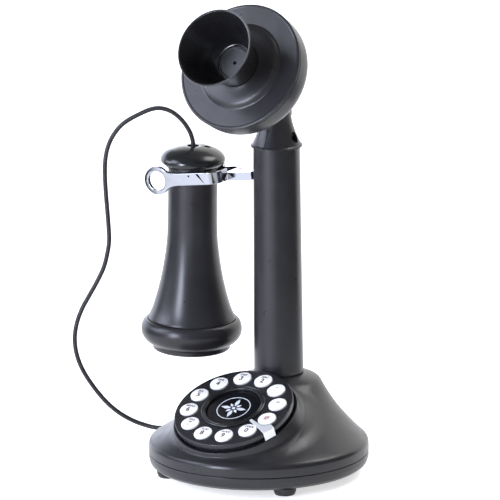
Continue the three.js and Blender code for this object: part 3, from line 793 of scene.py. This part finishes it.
# ---- post and neck ----
def make_post():
    tube = loose("fine_post_tube", lathe([
        (10.5, 46), (13.2, 46), (13.2, 62.6), (16.8, 62.6, 0.3), (16.8, 64, 0.4), (16.5, 64.3),
        (16.5, 66, SOFT), (15.6, 217.2, 0.35), (13.2, 217.2, 0.3), (13.2, 70), (10.5, 70),
    ], 144, True), POST)
    cut(tube, POST, block(-20, -10, -2.4, 2.4, 191.6, 203.8, 0.6))
    settle(tube, "stand", "satin_shell", "post_tube")


TILT_HEIGHT = 253.3             # of the tilt pin above the floor
NECK_SCREW = Matrix.Translation((0, 0.8, 224.6)) @ TO_X
EAR_HALF, EAR_RADIUS = 8.4, 6.5
EAR_GAP_HALF = 3.4              # of the slot between the ears
PIN_BORE = 2.2


def make_neck():
    outside = [
        (0, 206), (12.9, 206), (12.9, 217.5), (17.3, 217.5, 0.35), (17.35, 218.5, 0.35), (16.2, 219.3, 0.6),
        (14.6, 222.4, SOFT), (13, 226.3, SOFT), (11.2, 231.5, SOFT), (10, 237, SOFT), (9.5, 243), (0, 243),
    ]
    top = TILT_HEIGHT + EAR_RADIUS
    ear = rounded([
        (EAR_RADIUS, 238), (EAR_RADIUS, top, EAR_RADIUS), (-EAR_RADIUS, top, EAR_RADIUS), (-EAR_RADIUS, 238),
    ], True)
    ears = moved(slab([ear], -EAR_HALF, EAR_HALF, 0.5), TO_X @ Matrix.Rotation(rad(90), 4, "Z"))
    for side, name in ((-1, "neck_half_left"), (1, "neck_half_right")):
        half = loose("fine_" + name, lathe(outside, 128), POST)
        join(half, POST, ears)
        keep = block(*((-30, -0.15) if side < 0 else (0.15, 30)), -30, 30, 190, 280, 0.12)
        combine(half, [keep], POST, "INTERSECT")
        cut(half, POST,
            rod(7, 200, 238),
            block(-EAR_GAP_HALF, EAR_GAP_HALF, -20, 20, 243, 270, 0.3),
            moved(rod(PIN_BORE, -20, 20), Matrix.Translation((0, 0, TILT_HEIGHT)) @ TO_X),
            moved(rod(3.6, 9.4, 20), NECK_SCREW),
            moved(rod(1.6, -20, 20), NECK_SCREW))
        settle(half, "stand", "satin_shell", name)
    place = POST @ NECK_SCREW
    screw = loose("fine_neck_screw", lathe([
        (0, -9), (1.3, -9), (1.3, 9.7), (2.5, 9.7), (2.5, 11.4, 0.5), (0, 11.4),
    ], 40), place)
    cut(screw, place, *cross_drive(1.7, 0.35, 10.6, 12))
    settle(screw, "stand", "black_steel", "neck_screw", slot="steel")


# ---- transmitter ----
FACE = 53.4                     # the faceplate's plane above the tilt pivot


def make_transmitter():
    body = "transmitter"
    cup = loose("fine_back_cup", lathe([
        (0, FACE - 29.5), (20, FACE - 29.3, SOFT), (31, FACE - 26.4, SOFT), (38.8, FACE - 21.5, SOFT),
        (42.6, FACE - 15.5, SOFT), (43.4, FACE - 9.5, SOFT), (43.4, FACE - 2.9, 0.35), (41, FACE - 2.9),
        (41, FACE - 9.5, 4), (40, FACE - 15, 4), (36.5, FACE - 20, 4), (29.5, FACE - 24.2, 4),
        (20, FACE - 26.7, 4), (0, FACE - 26.9),
    ], 160), HEAD)
    tongue = rounded([(8, FACE - 28), (8, -8, 8), (-8, -8, 8), (-8, FACE - 28)], True)
    tongue.reverse()
    half = EAR_GAP_HALF - 0.3
    join(cup, HEAD, moved(slab([tongue], -half, half, 0.4), TO_X @ Matrix.Rotation(rad(90), 4, "Z")))
    cut(cup, HEAD, moved(rod(PIN_BORE, -9, 9), TO_X))
    settle(cup, body, "satin_shell", "back_cup")
    turned_piece("faceplate", [
        (12.4, FACE - 2.6), (42.7, FACE - 2.6, 0.3), (43.7, FACE - 1.8, 0.4), (43.7, FACE - 0.1, 0.8),
        (42.4, FACE + 0.15, 0.5), (41.6, FACE - 0.1, 0.8), (35, FACE, SOFT), (29.4, FACE, 2.2),
        (27.2, FACE + 2.1, SOFT), (24, FACE + 2.9, SOFT), (19, FACE + 3.5, SOFT), (15.2, FACE + 4.6, 1),
        (14.6, FACE + 2.3), (12.4, FACE + 2.3),
    ], HEAD, body, "satin_shell", sides=160)
    turned_piece("mouthpiece_horn", [
        (9.5, FACE - 5), (12.1, FACE - 5), (12.1, FACE + 2.6), (15.2, FACE + 2.6), (15.3, FACE + 5, SOFT),
        (16.5, FACE + 11, SOFT), (18.9, FACE + 18.5, SOFT), (21.8, FACE + 26, SOFT),
        (24.5, FACE + 32.5, SOFT), (26.1, FACE + 36.7, 0.6), (26.8, FACE + 37.1, 0.3),
        (26.5, FACE + 38.0, 0.35), (25.4, FACE + 37.8, 0.3), (23.2, FACE + 33, SOFT),
        (20.3, FACE + 26, SOFT), (17.3, FACE + 18.5, SOFT), (14.4, FACE + 11, SOFT),
        (12.6, FACE + 8.8, 0.5), (11.9, FACE + 8.6, 0.2), (11.9, FACE + 6.2), (9.5, FACE + 6.2),
    ], HEAD, body, "gloss_trim", sides=144)
    turned_piece("throat_disc", [
        (0.9, FACE + 6.5), (11.5, FACE + 6.5), (11.5, FACE + 8.3, 0.35), (10.7, FACE + 8.3, 0.35),
        (10.1, FACE + 7.7, 0.5), (1.3, FACE + 7.7, 0.3), (0.9, FACE + 7.3, 0.2),
    ], HEAD, body, "satin_shell", sides=96)


# ---- hook: its arm and tines lie along -X from the pivot ----
HOOK_HALF = 17.3                # from the middle to a tine's inner face
HOOK_STRIP = 2.6
HOOK_BEND = 9.2                 # outer radius of the yoke's corners
HOOK_YOKE = 37                  # from the pivot to the middle of the yoke's strip
HOOK_LOW, HOOK_HIGH = -3.1, 5.1
HOOK_STEP = 52.5                # how far from the pivot the yoke's rear is cut down to the arm's top
ARM_HALF, ARM_LOW, ARM_HIGH = 4.6, -3.6, 2
ARM_END = 17.4                  # where the wide arm narrows, just outside the post
WEB_HALF = 1.5                  # of the narrow part inside the post
EYE_REACH, EYE_HEIGHT = 82.5, 0.9
EYE_OUTER, EYE_INNER = 9.7, 6.4
EYE_MOUTH = rad(43)             # half of the angle where the ring meets its tine


def tine_outline():
    """A tine seen from the side: a ring that runs into a straight strip."""
    lobe = []
    steps = 56
    for k in range(steps + 1):
        angle = EYE_MOUTH + (math.tau - 2 * EYE_MOUTH) * k / steps
        lobe.append((-EYE_REACH + EYE_OUTER * math.cos(angle), EYE_HEIGHT + EYE_OUTER * math.sin(angle)))
    throat, shoulder, root = 10.4 - EYE_REACH, 19.5 - EYE_REACH, -(HOOK_YOKE + 12)
    return lobe + rounded([
        lobe[-1], (throat, HOOK_LOW + 0.3, SOFT), (shoulder, HOOK_LOW), (root, HOOK_LOW), (root, HOOK_HIGH),
        (shoulder, HOOK_HIGH), (throat, HOOK_HIGH - 0.3, SOFT), lobe[0],
    ])[1:-1]


def make_hook():
    outside = HOOK_HALF + HOOK_STRIP
    near, far = HOOK_YOKE - HOOK_STRIP / 2, HOOK_YOKE + HOOK_STRIP / 2
    end = HOOK_YOKE + 16
    inner = HOOK_BEND - HOOK_STRIP
    plan = rounded([
        (-end, -outside), (-near, -outside, HOOK_BEND), (-near, outside, HOOK_BEND), (-end, outside),
        (-end, HOOK_HALF), (-far, HOOK_HALF, inner), (-far, -HOOK_HALF, inner), (-end, -HOOK_HALF),
    ], True)
    piece = loose("fine_hook_lever", slab([plan], HOOK_LOW, HOOK_HIGH, 0.5, 4), HOOK)
    outline = tine_outline()
    hole = [(x - EYE_REACH, z + EYE_HEIGHT) for x, z in circle(EYE_INNER, 64, clockwise=True)]
    for face in (-outside, HOOK_HALF):
        tine = slab([outline, hole], -face - HOOK_STRIP, -face, 0.5, 4)
        join(piece, HOOK, moved(tine, SIDEWAYS))
    arm = block(-near - 1, -ARM_END, -ARM_HALF, ARM_HALF, ARM_LOW, ARM_HIGH, 0.5)
    web = block(-ARM_END - 1, -1, -WEB_HALF, WEB_HALF, ARM_LOW, ARM_HIGH, 0.3)
    hub = moved(rod(4.2, -3, 3, 48, 0.4), TO_Y)
    tail = block(1, 10.5, -WEB_HALF, WEB_HALF, -2, 2, 0.3)
    join(piece, HOOK, arm, web, hub, tail)
    step = block(-HOOK_STEP, 0, -ARM_HALF, outside + 1.1, ARM_HIGH, HOOK_HIGH + 1, 0.3)
    cut(piece, HOOK, moved(rod(1.8, -9, 9), TO_Y), step)
    settle(piece, "hook", "chrome_plate", "hook_lever", crease=30)
    # Painted shade: a flat black disc barely proud of the front tine's chrome face, darkening the spot where
    # a dimple's hollow would be.
    dimple_shade_disc = moved(rod(0.75, outside - 0.4, outside + 0.06, 32, 0.05), Matrix.Rotation(rad(90), 4, "X"))
    dot = loose("hook_dimple_painted_shade", moved(dimple_shade_disc, Matrix.Translation((-(HOOK_YOKE + 20), 0, 3.2))), HOOK)
    settle(dot, "hook", "black_steel", slot="chrome_plate")


# ---- receiver ----
def make_receiver():
    body = "receiver"
    screw_at = Matrix.Translation((8.1, 4.9, 0))        # the cap's second hole, beside the cord's
    cap = loose("fine_receiver_cap", lathe([
        (16.2, -3.3), (18.3, -3.3), (18.3, -2.1, 0.3), (19.8, -1.9, SOFT), (21.3, -0.8, SOFT),
        (21.9, 1.1, SOFT), (21.2, 3.4, SOFT), (19, 5.8, SOFT), (15.5, 7.9, SOFT), (10.5, 9.6, SOFT),
        (6, 10.25, 4), (3.85, 10.3, 0.4), (3.85, 8, 0.3), (9, 6.8), (13, 4.8), (16.2, 1),
    ], 144, True), RECEIVER)
    cut(cap, RECEIVER, moved(rod(2.3, 7.2, 14), screw_at), moved(rod(1.5, 2, 14), screw_at))
    settle(cap, body, "gloss_trim", "receiver_cap")
    screw = loose("fine_cap_screw", moved(lathe([
        (0, -2), (1.2, -2), (1.2, 7.5), (2, 7.5), (2, 8.6, 0.4), (0, 8.6),
    ], 40), screw_at), RECEIVER)
    cut(screw, RECEIVER, *[moved(slot, screw_at) for slot in cross_drive(1.3, 0.3, 8, 9)])
    settle(screw, body, "black_steel", "cap_screw", slot="steel")
    shell = loose("fine_receiver_shell", lathe([
        (25, -120), (27.5, -120), (27.5, -109.1), (29.3, -109, 0.3), (29.3, -108, SOFT), (27, -103.4, SOFT),
        (24.7, -96.3, SOFT), (21.1, -82.5, SOFT), (18.7, -68.5, SOFT), (17.1, -56, SOFT), (16.6, -46, SOFT),
        (16.5, -3.9, 0.4), (15.8, -3.6), (15.8, 0), (3.2, 0), (3.2, -2.5), (13.8, -2.5), (13.8, -50),
        (16.2, -68.5), (18.5, -82.5), (22.3, -96.3), (25, -105),
    ], 144, True), RECEIVER)
    cut(shell, RECEIVER, moved(rod(1.5, -6, 4), screw_at))
    settle(shell, body, "satin_shell", "receiver_shell")
    ear = loose("fine_ear_cap", lathe([
        (5.5, -127.6, 0.4), (14, -128.5, SOFT), (22.6, -129.7, SOFT), (24.8, -130, 0.8), (26, -129, 0.8),
        (26.2, -126.6, 0.6), (27.6, -125.7, SOFT), (31, -123.4, SOFT), (33.4, -119.9, SOFT),
        (34.1, -115.8, SOFT), (33.3, -112, SOFT), (31.6, -109.5, SOFT), (30, -109, 0.3), (28, -109.9),
        (28, -120.6), (24.5, -123.6), (5.5, -124.6),
    ], 144, True), RECEIVER)
    holes = []
    for count, reach in ((6, 9.2), (12, 14.2)):         # two circles of sound holes
        for k in range(count):
            angle = math.tau * k / count
            spot = Matrix.Translation((reach * math.cos(angle), reach * math.sin(angle), 0))
            holes.append(moved(rod(0.9, -132, -122, 20), spot))
    cut(ear, RECEIVER, together(*holes))
    settle(ear, body, "satin_shell", "ear_cap")
    turned_piece("receiver_bush", [
        (0, -2.6), (2.9, -2.6), (2.9, 0.3), (5, 0.3, 0.3), (5, 1.6, 0.6), (2.2, 2.2, 0.3), (0, 2.2),
    ], RECEIVER, body, "black_rubber", closed=False, sides=48)


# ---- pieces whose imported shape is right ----
KEPT = {
    "steel": ["ballast_weight", "post_nut", "tilt_pin", "microphone", "hook_pin", "hook_bracket",
              "hook_spring", "receiver_speaker"],
    "gloss_trim": ["sounder", "hook_switch"],
    "circuit_board": ["main_board", "keypad_board"],
    "grey_rubber": ["keypad_membrane"],
}


def dress_kept_nodes():
    for finish, nodes in KEPT.items():
        for name in nodes:
            node = frame["nodes"][name]
            node.data.materials.clear()
            node.data.materials.append(materials[finish])


# ---- studio ----
COOL = (0.77, 0.82, 1.0)
FLAG_REACH, FLAG_HEIGHT = 0.4, 0.17     # metres


def add_panel(name, place, target, width, height, brightness, tint=(1, 1, 1), spread=math.pi):
    """A soft box of that width and height, in metres, whose face is that bright and shines that wide."""
    data = bpy.data.lights.new(name, "AREA")
    data.shape = "RECTANGLE"
    data.size, data.size_y = width, height
    data.energy = brightness * math.pi * width * height
    data.color = tint
    data.spread = spread
    light = bpy.data.objects.new(name, data)
    light.location = place
    light.rotation_euler = (Vector(target) - Vector(place)).to_track_quat("-Z", "Y").to_euler()
    light.visible_camera = False
    bpy.context.scene.collection.objects.link(light)


def add_flag(name, start, stop):
    """A curved black card round the receiver, which only the gloss of the telephone sees."""
    steps = 12
    vertices = []
    for k in range(steps + 1):
        angle = start + (stop - start) * k / steps
        x, y = hook_pivot.x - 0.04 + FLAG_REACH * math.cos(angle), FLAG_REACH * math.sin(angle)
        vertices += [(x, y, 0), (x, y, FLAG_HEIGHT)]
    faces = [(2 * k, 2 * k + 2, 2 * k + 3, 2 * k + 1) for k in range(steps)]
    mesh = bpy.data.meshes.new(name)
    mesh.from_pydata(vertices, [], faces)
    flag = bpy.data.objects.new(name, mesh)
    bpy.context.scene.collection.objects.link(flag)
    cloth = Finish("black_cloth", (0.01, 0.01, 0.01), 0.9).mottle(0.2, 30).smudge(0.05, 30)
    mesh.materials.append(cloth.material)
    flag.visible_camera = flag.visible_shadow = flag.visible_diffuse = False


def make_studio():
    half = 30
    corners = [(-half, -half, 0), (half, -half, 0), (half, half, 0), (-half, half, 0)]
    floor = bpy.data.meshes.new("floor")
    floor.from_pydata(corners, [], [(0, 1, 2, 3)])
    stage = bpy.data.objects.new("floor", floor)
    bpy.context.scene.collection.objects.link(stage)
    paper = Finish("paper", (0.93, 0.93, 0.93), 0.9).mottle(0.004, 3).smudge(0.04, 4)
    paper.shader.inputs["Specular IOR Level"].default_value = 0.1
    paper.shader.inputs["Emission Color"].default_value = (1, 1, 1, 1)
    paper.shader.inputs["Emission Strength"].default_value = 0.6
    floor.materials.append(paper.material)
    world = bpy.data.worlds.new("studio")
    world.use_nodes = True
    sky = world.node_tree.nodes["Background"]
    sky.inputs["Color"].default_value = (0.97, 0.98, 1.0, 1)
    sky.inputs["Strength"].default_value = 0.3
    bpy.context.scene.world = world
    add_panel("key_panel", (-1.65, -1.45, 1.45), (0, 0, 0.25), 1.1, 1.4, 7.0, COOL)
    add_panel("strip_panel", (-0.31, -1.47, 0.5), (0, 0, 0.25), 0.40, 0.75, 3.2, COOL, rad(60))
    add_panel("edge_panel", (-1.5, -0.57, 0.45), (0, 0, 0.25), 0.8, 0.7, 5.5, COOL)
    add_panel("side_panel", (-2.6, 1.6, 0.7), (0, 0, 0.2), 3.2, 1.4, 2.4, COOL)
    add_panel("top_panel", (1.1, 1.35, 2.5), (0.05, 0.1, 0), 1.3, 1.3, 6)
    add_panel("back_panel", (-0.2, 3.6, 1.6), (0, 0, 0.2), 6.4, 3.0, 1.3)
    add_flag("right_flag", rad(-64), rad(48))
    add_flag("left_flag", rad(-128), rad(-184))
    scene = bpy.context.scene
    scene.view_settings.view_transform = "Standard"
    scene.view_settings.look = "None"


make_camera()
materials = make_materials()
make_cord()
make_base_shell()
make_base_plate()
make_feet()
make_base_fittings()
make_number_plate()
make_keys()
make_centre()
make_finger_stop()
make_post()
make_neck()
make_transmitter()
make_hook()
make_receiver()
dress_kept_nodes()
make_studio()
